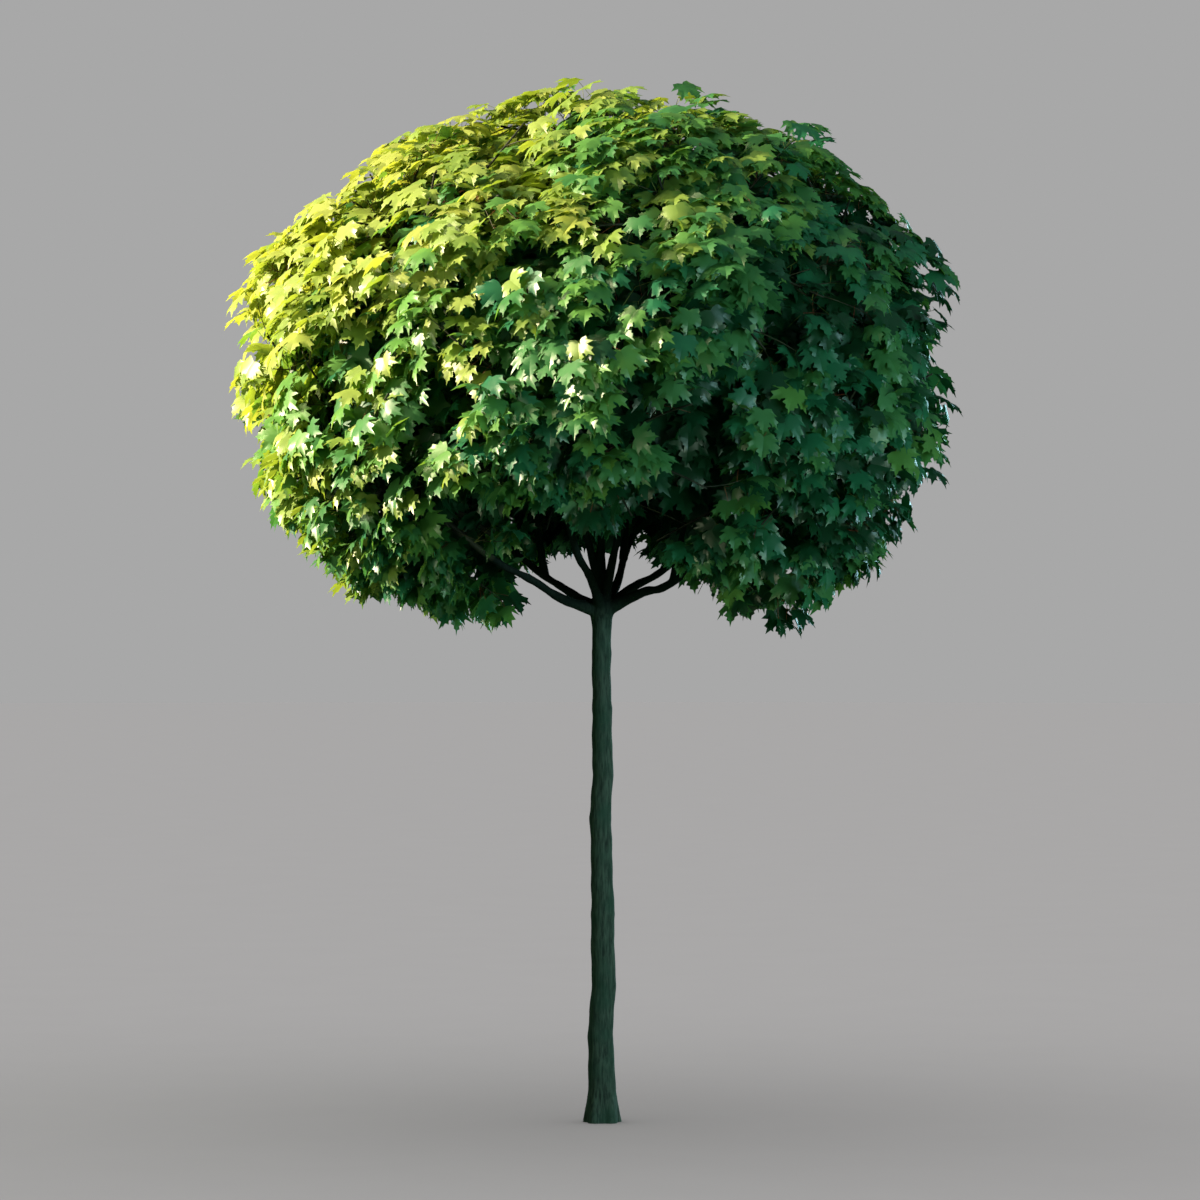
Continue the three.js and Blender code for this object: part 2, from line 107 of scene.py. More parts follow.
# each mass's ring, azimuth, and the limb that feeds it
MASSES = {
    "foliage_back_right": ("lower", 30, "bough_back_right"),
    "foliage_back": ("lower", 90, "bough_back"),
    "foliage_back_left": ("lower", 150, "bough_back_left"),
    "foliage_front_left": ("lower", 210, "bough_front_left"),
    "foliage_front": ("lower", 270, "bough_front"),
    "foliage_front_right": ("lower", 330, "bough_front_right"),
    "foliage_upper_right": ("upper", 0, "limb_upper_right"),
    "foliage_upper_back_right": ("upper", 72, "limb_upper_back_right"),
    "foliage_upper_back_left": ("upper", 144, "limb_upper_back_left"),
    "foliage_upper_front_left": ("upper", 216, "bough_upper_front_left"),
    "foliage_upper_front_right": ("upper", 288, "bough_upper_front_right"),
    "foliage_top": ("top", 0, "bough_top"),
}
RINGS = {"lower": (1.01, 2.96), "upper": (0.90, 3.75), "top": (0.0, 4.08)}  # radius and height
CROWN_CENTRE = np.array([-0.018, 0.0, 3.36])
HALF_WIDTH = 1.6
RISE = 1.21  # centre to top
DROP_SIDES = 1.2  # centre to the lowest leaves, at left and right
DROP_FRONT = 0.88  # and at the front and back
DOME_POWER = 2.0  # how square the crown's outline is above its centre
SKIRT_POWER = 2.5  # and below it
STEM_END = 0.78  # a mass's stem ends at this share of the way from the centre to the surface
STEM_END_RADIUS = 0.009
TWIG_TIPS = 126
TIP_INSET = 0.034
LOWEST_TIP = -0.93
GOLDEN_ANGLE = math.pi * (3 - math.sqrt(5))
UP = np.array([0.0, 0.0, 1.0])

# The finer growth that only this script makes

LIMB_STEPS, STEM_STEPS, TWIG_STEPS, SHOOT_STEPS = 41, 9, 7, 5  # points on each path
TWIG_STOP = 0.10  # twigs end this much short of the solids', and shoots go on from them
TWIG_ROOTS = (0.75, 1)  # twigs leave their stem between these shares of its length
TWIG_RADII = (0.0085, 0.0045)
SHOOT_RADII = (0.0032, 0.0016)
# how far chance bends them, how far twigs arch up and how far shoots arch out, in shares of their length
TWIG_SWAY, SHOOT_SWAY, TWIG_ARCH, SHOOT_ARCH = 0.09, 0.12, 0.05, 0.10
SHOOT_ROOTS = (0.15, 0.96)  # shoots leave their twig between these shares of its length
SHOOT_SLANT = 0.9  # and this much further back than their tip for each metre that they reach aside
STALK_RADIUS = 0.0011
FINE_TIPS = 1800  # young shoots, dealt out by the same spiral
LOWEST_SHOOT = -0.95
INNER_DEPTH = 0.36  # a shoot that ends deeper than this is inside the crown
# for each layer, the share of shoots up to its last one, and how far under the surface its shoots end
SHOOT_LAYERS = ((0.36, 0.05, 0.17), (0.64, 0.20, INNER_DEPTH), (1.0, 0.38, 0.66))
LEAST_DEPTH = 0.035
TOP_DEPTH = 0.035  # shoots at the very top end this much deeper
UNDERSIDE = -0.55  # below this rise a direction points at the crown's underside
UNDERSIDE_SHARE = 0.55  # where depths shrink to this share
UNDERSIDE_SHIFT = (-0.12, 0.06)  # and then shift by up to this much
LUMP_DEPTH = 0.12  # how far the crown's surface sinks between its lumps
DIP_DEPTH = 0.20  # and in the few places where it opens on its dark inside
DIP_FADE = (0.55, 0.9)  # a dip starts where the product of its two waves is this, and is whole at this
# the runs and phases of the waves that shape the crown's lumps, then of those that shape its dips
WAVES = (((9.0, 3.1, 4.7), 1.3), ((-4.2, 8.3, 6.1), 0.4), ((5.3, -3.9, 6.6), 2.2), ((-6.7, -4.1, 3.2), 0.9))
SKIRT_TOP = 2.6  # lower than this the crown is thin enough to let the sky through
SKIRT_THINNING = 0.42  # with this share of its shoots left out
# the bare bowl over the fork
BOWL_MIDDLE = (0.09, 0.0)
BOWL_HALF_WIDTHS = (0.47, 0.56)
BOWL_TOP = 2.51
# dark hollows in the front of the crown, from the photograph: across, up and radius
HOLLOWS = ((0.34, 2.80, 0.27), (-0.58, 2.66, 0.20), (-0.22, 2.60, 0.20), (0.12, 2.56, 0.22))
HOLLOW_EDGES = (0.7, 1.1)  # they end raggedly between these shares of their radius
HOLLOWS_FRONT = -0.2  # they reach back from the crown's face to here
# tips of the stray shoots that stand out of the outline, from the photograph, across and up: a row for those
# at the top and the sides, and two for those under the skirt
STRAY_TIPS = (
    (-0.33, 4.44), (0.08, 4.46), (0.43, 4.43), (0.84, 4.26), (-1.22, 4.00), (1.42, 3.66),
    (-1.03, 2.40), (-0.90, 2.42), (-0.68, 2.31), (-0.44, 2.29), (-0.55, 2.34),
    (0.62, 2.36), (0.80, 2.26), (0.90, 2.38), (1.08, 2.50),
)
STRAY_PLACES = (-0.6, 0.3)  # how far to the front or back they stand
STRAY_SEED = 50000.0  # theirs count on from here
SEED_STEP = 7.0


# Shared sums


def chance(seed):
    """A repeatable number from 0 to 1 for each seed."""
    wave = np.sin(np.asarray(seed, dtype=float) * 127.1 + 311.7) * 43758.5453
    return wave - np.floor(wave)


def between(seed, low, high):
    return low + (high - low) * chance(seed)


def scatter(seed, first, reach):
    """A repeatable shift for each seed, of up to reach along each axis."""
    return np.stack([between(seed + k, -reach, reach) for k in range(first, first + 3)], axis=1)


def smooth(low, high, value):
    """0 up to low, 1 from high on, and an easy rise from one to the other."""
    share = np.clip((value - low) / (high - low), 0, 1)
    return share * share * (3 - 2 * share)


def unit(vectors):
    return vectors / np.maximum(np.linalg.norm(vectors, axis=-1, keepdims=True), 1e-9)


def dots(some, others):
    return np.einsum("ij,ij->i", some, others)


def on_azimuth(degrees, radius, height):
    turn = math.radians(degrees)
    return np.array([radius * math.cos(turn), radius * math.sin(turn), height])


def gone_along(path):
    """How far each point of a path lies from its start, along it."""
    return np.concatenate([[0], np.cumsum(np.linalg.norm(np.diff(path, axis=0), axis=1))])


def even_path(points, count):
    """Points at even distances along the smooth curve through the given ones."""
    points = np.asarray(points, dtype=float)
    ends = [2 * points[0] - points[1], *points, 2 * points[-1] - points[-2]]
    fine = []
    for k in range(1, len(ends) - 2):
        p0, p1, p2, p3 = ends[k - 1 : k + 3]
        d0, d1, d2 = (math.sqrt(np.linalg.norm(b - a)) for a, b in ((p0, p1), (p1, p2), (p2, p3)))
        start = ((p1 - p0) / d0 - (p2 - p0) / (d0 + d1) + (p2 - p1) / d1) * d1
        finish = ((p2 - p1) / d1 - (p3 - p1) / (d1 + d2) + (p3 - p2) / d2) * d1
        t = np.linspace(0, 1, 40)[:, None]
        curve = (2 * t**3 - 3 * t**2 + 1) * p1 + (t**3 - 2 * t**2 + t) * start
        fine.append(curve + (3 * t**2 - 2 * t**3) * p2 + (t**3 - t**2) * finish)
    fine = np.concatenate(fine)
    gone = gone_along(fine)
    wanted = np.linspace(0, gone[-1], count)
    return np.stack([np.interp(wanted, gone, fine[:, k]) for k in range(3)], axis=1)


# Limbs


def bough_path(azimuth, reach, rise, steep, wave):
    points = []
    for k in range(BOUGH_BENDS + 1):
        share = k / BOUGH_BENDS
        sway = wave * math.sin(share * math.pi * 2 * BOUGH_WAVES) * math.sin(share * math.pi)
        point = on_azimuth(azimuth, reach * share**steep, HEAD_HEIGHT + rise * share + sway)
        points.append(point + on_azimuth(azimuth + 90, sway, 0))
    return even_path(points, LIMB_STEPS)


def side_limb_path(start, azimuth, reach, rise):
    end = on_azimuth(azimuth, reach, HEAD_HEIGHT + rise)
    points = [start]
    for out, up in SIDE_LIMB_BENDS:
        point = start + (end - start) * out
        point[2] = start[2] + (end[2] - start[2]) * up
        points.append(point)
    return even_path([*points, end], LIMB_STEPS)


def limb_paths():
    """Each limb's name with its path and its radius at every point of it."""
    limbs = {}
    for name, (azimuth, reach, rise, steep, wave, root, tip) in BOUGHS.items():
        limbs[name] = (bough_path(azimuth, reach, rise, steep, wave), np.linspace(root, tip, LIMB_STEPS))
    for name, (host, share, azimuth, reach, rise) in SIDE_LIMBS.items():
        start = limbs[host][0][round(share * (LIMB_STEPS - 1))]
        limbs[name] = (side_limb_path(start, azimuth, reach, rise), np.linspace(*SIDE_LIMB_RADII, LIMB_STEPS))
    return limbs


# Crown


def crown_reach(directions):
    """How far the crown's surface lies from its centre in each direction."""
    level = np.hypot(directions[..., 0], directions[..., 1])
    frontness = (directions[..., 1] / np.maximum(level, 1e-9)) ** 2
    drop = DROP_SIDES + (DROP_FRONT - DROP_SIDES) * frontness
    above = directions[..., 2] > 0
    height = np.where(above, RISE, drop)
    power = np.where(above, DOME_POWER, SKIRT_POWER)
    total = (level / HALF_WIDTH) ** power + (np.abs(directions[..., 2]) / height) ** power
    return total ** (-1 / power)


def crown_share(points):
    """0 at the crown's centre and 1 on its surface."""
    offset = points - CROWN_CENTRE
    distance = np.maximum(np.linalg.norm(offset, axis=-1), 1e-6)
    return distance / crown_reach(offset / distance[..., None])


def surface_lumps(directions):
    """How far the crown's surface sinks between its lumps and in its dips."""
    waves = [0.5 + 0.5 * np.sin(directions @ np.array(run) + phase) for run, phase in WAVES]
    return LUMP_DEPTH * waves[0] * waves[1] + DIP_DEPTH * smooth(*DIP_FADE, waves[2] * waves[3])


def spiral_tips(count, lowest):
    """Directions spread evenly over the ball, the way its surface faces at each, and each one's number."""
    number = np.arange(count)
    rise = 1 - (2 * number + 1) / count
    level = np.sqrt(1 - rise**2)
    turn = number * GOLDEN_ANGLE
    on_ball = np.stack([level * np.cos(turn), level * np.sin(turn), rise], axis=1)
    height = np.where(rise > 0, RISE, DROP_SIDES)
    stretched = np.stack([np.full(count, HALF_WIDTH), np.full(count, HALF_WIDTH), height], axis=1)
    keep = rise > lowest
    return unit(on_ball * stretched)[keep], unit(on_ball / stretched)[keep], number[keep]


def mass_sites():
    sites = []
    for ring, azimuth, _ in MASSES.values():
        radius, height = RINGS[ring]
        sites.append(on_azimuth(azimuth, radius, height) + np.array([CROWN_CENTRE[0], 0, 0]))
    return np.array(sites)


def nearest(points, sites):
    return np.argmin(np.linalg.norm(points[:, None] - sites[None], axis=2), axis=1)


# Twigs: stems go on from the limbs, twigs from the stems, shoots from the twigs


def stem_paths(limbs):
    """Each mass's stem: it leaves its limb along the limb's own line, then bends to its mass's middle."""
    stems = []
    for site, (_, _, limb) in zip(mass_sites(), MASSES.values()):
        path, radii = limbs[limb]
        along = unit(path[-1] - path[-2])
        direction = unit(site - CROWN_CENTRE)
        end = CROWN_CENTRE + direction * crown_reach(direction) * STEM_END
        points = [path[-1] - 0.01 * along, path[-1] + 0.015 * along, path[-1] + 0.045 * along, end]
        stems.append((even_path(points, STEM_STEPS), np.linspace(radii[-1], STEM_END_RADIUS, STEM_STEPS)))
    return stems


def bent(starts, ends, pull, count):
    """Paths from starts to ends, each pulled aside at its middle."""
    t = np.linspace(0, 1, count)[None, :, None]
    middle = (starts + ends) / 2 + pull
    return (1 - t) ** 2 * starts[:, None] + 2 * t * (1 - t) * middle[:, None] + t**2 * ends[:, None]


def twig_paths(stems):
    """The twigs: each leaves the last quarter of its mass's stem and arches over to its tip."""
    directions, _, number = spiral_tips(TWIG_TIPS, LOWEST_TIP)
    tips = CROWN_CENTRE + directions * (crown_reach(directions) - TIP_INSET - TWIG_STOP)[:, None]
    mass = nearest(tips, mass_sites())
    seed = number * 29.0
    share = between(seed, *TWIG_ROOTS)
    starts = np.array([stems[m][0][round(s * (STEM_STEPS - 1))] for m, s in zip(mass, share)])
    length = np.linalg.norm(tips - starts, axis=1, keepdims=True)
    return bent(starts, tips, scatter(seed, 1, TWIG_SWAY) * length + UP * TWIG_ARCH * length, TWIG_STEPS)


def shoot_depths(directions, seed):
    """How far under the crown's surface each shoot ends."""
    pick = chance(seed)
    depth = np.zeros(len(seed))
    low = 0.0
    for limit, shallow, deep in SHOOT_LAYERS:
        here = (pick >= low) & (pick < limit)
        depth[here] = between(seed[here] + 1, shallow, deep)
        low = limit
    under = directions[:, 2] < UNDERSIDE
    depth[under] = depth[under] * UNDERSIDE_SHARE + between(seed[under] + 5, *UNDERSIDE_SHIFT)
    return np.maximum(depth + TOP_DEPTH * np.maximum(directions[:, 2], 0) ** 2, LEAST_DEPTH)


def bare_places(tips, seed, depth):
    """Which shoots are left out, for the sky through the skirt and for the dark hollows."""
    bare = (tips[:, 2] < SKIRT_TOP) & (chance(seed + 8) < SKIRT_THINNING)
    for across, up, radius in HOLLOWS:
        near = np.hypot(tips[:, 0] - across, tips[:, 2] - up) < radius * between(seed + 6, *HOLLOW_EDGES)
        bare |= near & (tips[:, 1] < HOLLOWS_FRONT) & (depth < INNER_DEPTH)
    return bare


def shoot_starts(tips, hosts):
    """Where each shoot leaves its twig: further back, the further it reaches aside."""
    base = hosts[:, 0]
    along = hosts[:, -1] - base
    length = np.linalg.norm(along, axis=1)
    along = along / length[:, None]
    forward = dots(tips - base, along)
    aside = np.linalg.norm(tips - base - along * forward[:, None], axis=1)
    step = np.clip((forward - SHOOT_SLANT * aside) / length, *SHOOT_ROOTS) * (TWIG_STEPS - 1)
    lower = np.floor(step).astype(int)
    part = (step - lower)[:, None]
    row = np.arange(len(hosts))
    return hosts[row, lower] * (1 - part) + hosts[row, lower + 1] * part


def shoot_paths(twigs):
    """The young shoots: each leaves the twig whose tip is nearest, and ends at its own place."""
    directions, outward, number = spiral_tips(FINE_TIPS, LOWEST_SHOOT)
    seed = number * SEED_STEP
    depth = shoot_depths(directions, seed)
    tips = CROWN_CENTRE + directions * (crown_reach(directions) - depth - surface_lumps(directions))[:, None]
    bare = bare_places(tips, seed, depth)
    tips, outward, seed, depth = (column[~bare] for column in (tips, outward, seed, depth))
    strays = np.array([(x, between(z * 9 + x, *STRAY_PLACES), z) for x, z in STRAY_TIPS])
    tips = np.concatenate([tips, strays])
    outward = np.concatenate([outward, unit(strays - CROWN_CENTRE)])
    seed = np.concatenate([seed, STRAY_SEED + SEED_STEP * np.arange(len(strays))])
    depth = np.concatenate([depth, np.zeros(len(strays))])
    starts = shoot_starts(tips, twigs[nearest(tips, twigs[:, -1])])
    reach = np.linalg.norm(tips - starts, axis=1, keepdims=True)
    pull = (scatter(seed, 2, SHOOT_SWAY) + SHOOT_ARCH * outward) * reach
    return bent(starts, tips, pull, SHOOT_STEPS), outward, seed, depth


# Meshes from arrays


def joined_mesh(name, corners, faces, finish):
    """One smooth piece made of many small forms, from arrays of corners and triangles."""
    mesh = bpy.data.meshes.new(name)
    mesh.vertices.add(len(corners))
    mesh.vertices.foreach_set("co", np.ascontiguousarray(corners, dtype=np.float32).ravel())
    mesh.loops.add(faces.size)
    mesh.loops.foreach_set("vertex_index", np.ascontiguousarray(faces, dtype=np.int32).ravel())
    mesh.polygons.add(len(faces))
    mesh.polygons.foreach_set("loop_start", np.arange(0, faces.size, 3, dtype=np.int32))
    mesh.update(calc_edges=True)
    mesh.validate()
    mesh.polygons.foreach_set("use_smooth", np.full(len(mesh.polygons), True))
    piece = bpy.data.objects.new(name, mesh)
    scene.collection.objects.link(piece)
    mesh.materials.append(finish)
    return piece


def copies(faces, count, step):
    """The faces of count like forms, whose corners follow each other step by step."""
    return (faces[None] + (np.arange(count) * step)[:, None, None]).reshape(-1, 3)


def tubes(paths, radii, sides):
    """Round tubes along many paths at once, pointed at the far end and closed at the near one."""
    count, steps, _ = paths.shape
    heading = unit(np.gradient(paths, axis=1))
    lean = np.where(np.abs(heading[..., 2:3]) > 0.9, np.array([1.0, 0, 0]), UP)
    side = unit(np.cross(heading, lean))
    other = np.cross(heading, side)
    turn = (np.arange(sides) * 2 * math.pi / sides)[None, None, :, None]
    ring = side[:, :, None] * np.cos(turn) + other[:, :, None] * np.sin(turn)
    corners = paths[:, :, None] + ring * radii[:, :, None, None]
    tip = paths[:, -1:] + heading[:, -1:] * radii[:, -1:, None]
    corners = np.concatenate([corners.reshape(count, -1, 3), paths[:, :1], tip], axis=1)
    faces = []
    for j in range(steps - 1):
        for k in range(sides):
            a, b = j * sides + k, j * sides + (k + 1) % sides
            faces += [(a, b, b + sides), (a, b + sides, a + sides)]
    root, point, last = steps * sides, steps * sides + 1, (steps - 1) * sides
    for k in range(sides):
        faces += [(root, (k + 1) % sides, k), (point, last + k, last + (k + 1) % sides)]
    return corners.reshape(-1, 3), copies(np.array(faces), count, corners.shape[1])


def together(parts):
    """Several sets of corners and faces as one."""
    corners, faces, start = [], [], 0
    for some_corners, some_faces in parts:
        corners.append(some_corners)
        faces.append(some_faces + start)
        start += len(some_corners)
    return np.concatenate(corners), np.concatenate(faces)


# Leaves

# One half of a five-lobed leaf, in blade lengths: out from the midrib, and forward. It runs from the blade's
# tip round by its side lobe and its low lobe to the stalk.
SIDE_TIP = (0.67, 0.68)
LOW_TIP = (0.66, 0.11)
STALK = (0.0, 0.0)
HALF_LEAF = [
    (0.0, 1.0), (0.05, 0.86), (0.16, 0.84), (0.15, 0.75), (0.29, 0.71), (0.21, 0.60), (0.22, 0.54),
    (0.34, 0.60), (0.37, 0.71), (0.45, 0.62), SIDE_TIP, (0.57, 0.50), (0.68, 0.40), (0.52, 0.31),
    (0.44, 0.22), LOW_TIP, (0.45, 0.03), (0.38, -0.11), (0.15, -0.08), STALK,
]
# points inside the blade, where it folds
ON_MIDRIB = [(0.0, 0.33), (0.0, 0.66)]
ON_VEINS = [(0.31, 0.34), (0.26, 0.05)]
# the directions of a half blade's three main veins, from the stalk
VEIN_TURNS = (math.radians(90), math.radians(46), math.radians(9))
PLEAT = 0.10  # how far the blade rises between its veins
PLEAT_WIDTH = 0.5  # and how far off a vein it does so, in radians

# back from the shoot's tip, and how many leaves: the end leaf and its pair, then pairs behind
LEAF_NODES = ((0.0, 3), (0.055, 2), (0.12, 2))
LEAF_HANDS = (1, -1, 0)  # a pair stands to either side, and the end leaf goes straight on
STALK_LENGTHS = (0.035, 0.065)
STALK_GROWTH = 0.025  # stalks are this much longer at each node further back
PAIR_GROWTH = 0.012  # and in a pair than on the end leaf
BLADE_LENGTHS = (0.092, 0.132)
INNER_GROWTH = 1.2  # leaves inside the crown are larger, as fewer of them fill it
SUN_LEAN = np.array([-0.45, 0.0, 0.0])  # blades turn from straight outwards a little to the sunny left
LEAST_OUT = 0.6  # even at the very top they turn outward by this much
# the pulls on a stalk: aside in a pair, onward, further onward for the end leaf, and outward
PULL_ASIDE, PULL_ONWARD, PULL_END, PULL_OUT = 0.85, 0.45, 0.5, 0.25
# and upward: at the crown's sides, what the top adds, and what the underside takes off
LIFT, TOP_LIFT, UNDER_LIFT = 0.15, 0.35, 0.6
# a blade faces outward by a pull between these, of which the top takes off this share
FACE_OUT, TOP_FACE_CUT = (0.15, 1.15), 0.4
# and upward: at the crown's sides, what the top adds, and what the underside takes off
FACE_UP, TOP_FACE_UP, UNDER_FACE_UP = 0.70, 0.8, 0.25
FACE_SPREAD = 0.46  # and chance turns it this much
# the pulls on the way that a blade points: along its stalk, outward, down and by chance
WAY_ALONG, WAY_OUT, WAY_DOWN, WAY_SPREAD = 0.6, 0.75, 0.6, 0.55
# a leaf reaches at most this share of the way to the crown's surface, up to so much more by its spray, and
# so much less on the crown's shoulder, which fades in and out between these rises
LEAF_LIMIT, LIMIT_SPREAD, SHOULDER_CUT = 1.005, 0.035, 0.07
SHOULDER_IN, SHOULDER_OUT = (0.35, 0.6), (0.93, 0.99)
LEAF_ROOM = 0.45  # in blade lengths, the least room from a leaf's middle to a limb


def half_leaf():
    """The half blade's points, and its triangles, facing up on the right-hand side."""
    points = HALF_LEAF + ON_MIDRIB + ON_VEINS
    rim = list(range(len(HALF_LEAF) + len(ON_MIDRIB)))
    side_vein, low_vein = len(rim), len(rim) + 1
    stalk, side_tip, low_tip = (HALF_LEAF.index(place) for place in (STALK, SIDE_TIP, LOW_TIP))
    veins = [(stalk, side_vein), (side_vein, side_tip), (stalk, low_vein), (low_vein, low_tip)]
    cut = delaunay_2d_cdt([Vector(p) for p in points], veins, [rim], 1, 1e-6)
    return np.array([tuple(p) for p in cut[0]]), np.array(cut[2])


def leaf_form(fold, droop, curl, lop):
    """A leaf's corners and faces, folded up along its midrib and between its veins, with hanging tips."""
    half, half_faces = half_leaf()
    turns = np.arctan2(half[:, 1], half[:, 0])
    off_vein = np.min(np.abs(turns[:, None] - np.array(VEIN_TURNS)), axis=1)
    ridge = PLEAT * np.sin(np.clip(off_vein, 0, PLEAT_WIDTH) * math.pi) * np.hypot(half[:, 0], half[:, 1])
    corners, faces = [], []
    for hand in (1, -1):
        out, forward = half[:, 0] * (1 + lop * hand), half[:, 1]
        rise = fold * out + ridge - droop * forward * np.abs(forward) - curl * out**2
        corners.append(np.stack([hand * out, forward, rise], axis=1))
        order = half_faces + (hand < 0) * len(half)
        faces.append(order if hand > 0 else order[:, ::-1])
    return np.concatenate(corners), np.concatenate(faces)


LEAF_FORMS = [
    leaf_form(fold=0.10, droop=0.30, curl=0.50, lop=0.02),
    leaf_form(fold=0.20, droop=0.42, curl=0.70, lop=-0.05),
    leaf_form(fold=0.02, droop=0.22, curl=0.30, lop=0.06),
    leaf_form(fold=0.34, droop=0.30, curl=0.55, lop=-0.03),
    leaf_form(fold=0.12, droop=0.55, curl=0.85, lop=0.04),
    leaf_form(fold=-0.05, droop=0.36, curl=0.45, lop=-0.06),
]
LEAF_FACES = LEAF_FORMS[0][1]  # all forms have the same faces


def grow_leaves(shoots, outward, seed, depth):
    """Where every leaf's stalk starts and ends, how its blade lies, and what is known of its shoot."""
    tip = shoots[:, -1]
    along = unit(shoots[:, -1] - shoots[:, -2])
    side = unit(np.cross(along, UP + 0.001))
    other = np.cross(side, along)
    rise = outward[:, 2:3]
    above, below = np.maximum(rise, 0), np.minimum(rise, 0)
    away = outward * np.array([1.0, 1.0, 0.0])
    level = unit(away + SUN_LEAN) * np.clip(np.linalg.norm(away, axis=1, keepdims=True), LEAST_OUT, 1.0)
    lift = LIFT + TOP_LIFT * above + UNDER_LIFT * below
    growth = np.where(depth > INNER_DEPTH, INNER_GROWTH, 1.0)
    grown = []
    for node, (back, count) in enumerate(LEAF_NODES):
        twist = between(seed + 11, 0, math.pi) + node * math.pi / 2
        aside = side * np.cos(twist)[:, None] + other * np.sin(twist)[:, None]
        root = tip - along * back
        for k, hand in enumerate(LEAF_HANDS[:count]):
            own = seed + 31 * node + 5.3 * k + 17
            onward = along * (PULL_ONWARD + PULL_END * (hand == 0))
            stalk_way = unit(hand * aside * PULL_ASIDE + onward + UP * lift + PULL_OUT * outward)
            stalk = between(own, *STALK_LENGTHS) + STALK_GROWTH * node + PAIR_GROWTH * (hand != 0)
            face = level * between(own + 4, *FACE_OUT)[:, None] * (1 - TOP_FACE_CUT * above)
            face = face + FACE_SPREAD * scatter(own, 1, 1.0)
            face = unit(face + UP * (FACE_UP + TOP_FACE_UP * above + UNDER_FACE_UP * below))
            way = WAY_ALONG * stalk_way + WAY_OUT * level - WAY_DOWN * UP + scatter(own, 5, WAY_SPREAD)
            grown.append({
                "root": root,
                "end": root + stalk_way * stalk[:, None],
                "face": face,
                "way": unit(way - face * dots(way, face)[:, None]),
                "size": between(own + 8, *BLADE_LENGTHS) * growth,
                "form": np.floor(chance(own + 9) * len(LEAF_FORMS)).astype(int),
                "spray": seed,
                "out": outward,
                "inset": depth,
            })
    return {key: np.concatenate([leaves[key] for leaves in grown]) for key in grown[0]}


def lay_leaves(leaves):
    """Every leaf's corners, one array for each leaf."""
    face, way = leaves["face"], leaves["way"]
    across = np.cross(way, face)
    forms = np.array([corners for corners, _ in LEAF_FORMS])
    shapes = forms[leaves["form"]] * leaves["size"][:, None, None]
    laid = leaves["end"][:, None] + shapes[..., 0:1] * across[:, None] + shapes[..., 1:2] * way[:, None]
    return laid + shapes[..., 2:3] * face[:, None]


def draw_back(leaves):
    """Draws a leaf that would stand out of the crown back to its surface. Strays are left where they are."""
    rise = leaves["out"][:, 2]
    shoulder = smooth(*SHOULDER_IN, rise) * (1 - smooth(*SHOULDER_OUT, rise))
    limit = LEAF_LIMIT + LIMIT_SPREAD * chance(leaves["spray"] + 3.3) - SHOULDER_CUT * shoulder
    over = np.where(leaves["spray"] < STRAY_SEED, crown_share(leaves["corners"]).max(axis=1) - limit, 0)
    inward = unit(CROWN_CENTRE - leaves["end"])
    pull = np.where(over > 0, over, 0) * crown_reach(-inward)
    leaves["end"] = leaves["end"] + inward * pull[:, None]
    leaves["corners"] = leaves["corners"] + (inward * pull[:, None])[:, None]


def in_the_clear(leaves, limbs):
    """Which leaves are neither in the bare bowl over the fork nor on a limb."""
    middle = leaves["end"] + leaves["way"] * 0.5 * leaves["size"][:, None]
    off_bowl = np.sum(((middle[:, :2] - BOWL_MIDDLE) / BOWL_HALF_WIDTHS) ** 2, axis=1) >= 1
    wood_points = np.concatenate([path for path, _ in limbs.values()])
    wood_radii = np.concatenate([radii for _, radii in limbs.values()])
    room = np.array([(np.linalg.norm(wood_points - m, axis=1) - wood_radii).min() for m in middle])
    return (off_bowl | (middle[:, 2] >= BOWL_TOP)) & (room > LEAF_ROOM * leaves["size"])


# Materials


def linear(code):
    """An sRGB hex colour as linear red, green, blue and alpha."""
    channels = [int(code[k : k + 2], 16) / 255 for k in (1, 3, 5)]
    return [*(c / 12.92 if c <= 0.04045 else ((c + 0.055) / 1.055) ** 2.4 for c in channels), 1.0]


def add_node(tree, kind, settings=None, links=None):
    """A shader node of the given kind, with its settings and with links from other nodes' sockets."""
    node = tree.nodes.new("ShaderNode" + kind)
    for key, value in (settings or {}).items():
        if key in node.inputs:
            node.inputs[key].default_value = value
        else:
            setattr(node, key, value)
    for key, socket in (links or {}).items():
        tree.links.new(socket, node.inputs[key])
    return node


def new_material(name):
    material = bpy.data.materials.new(name)
    material.use_nodes = True
    material.node_tree.nodes.clear()
    return material, material.node_tree


def mixed(tree, share, first, second):
    """The colour that a mix of two gives, each of them a colour or another node's socket."""
    mix = add_node(tree, "Mix", {"data_type": "RGBA"}, {0: share})
    for number, colour in enumerate((first, second), 6):
        if isinstance(colour, list):
            mix.inputs[number].default_value = colour
        else:
            tree.links.new(colour, mix.inputs[number])
    return mix.outputs[2]


def faded(tree, value, low, high, most, least=0.0):
    """A share that is least up to the low value and rises evenly to the most at the high one."""
    limits = {"From Min": low, "From Max": high, "To Min": least, "To Max": most}
    return add_node(tree, "MapRange", limits, {"Value": value}).outputs[0]


def set_stops(ramp, *stops):
    """The places and colours of a colour ramp's two stops."""
    for element, (place, code) in zip(ramp.color_ramp.elements, stops):
        element.position = place
        element.color = linear(code)


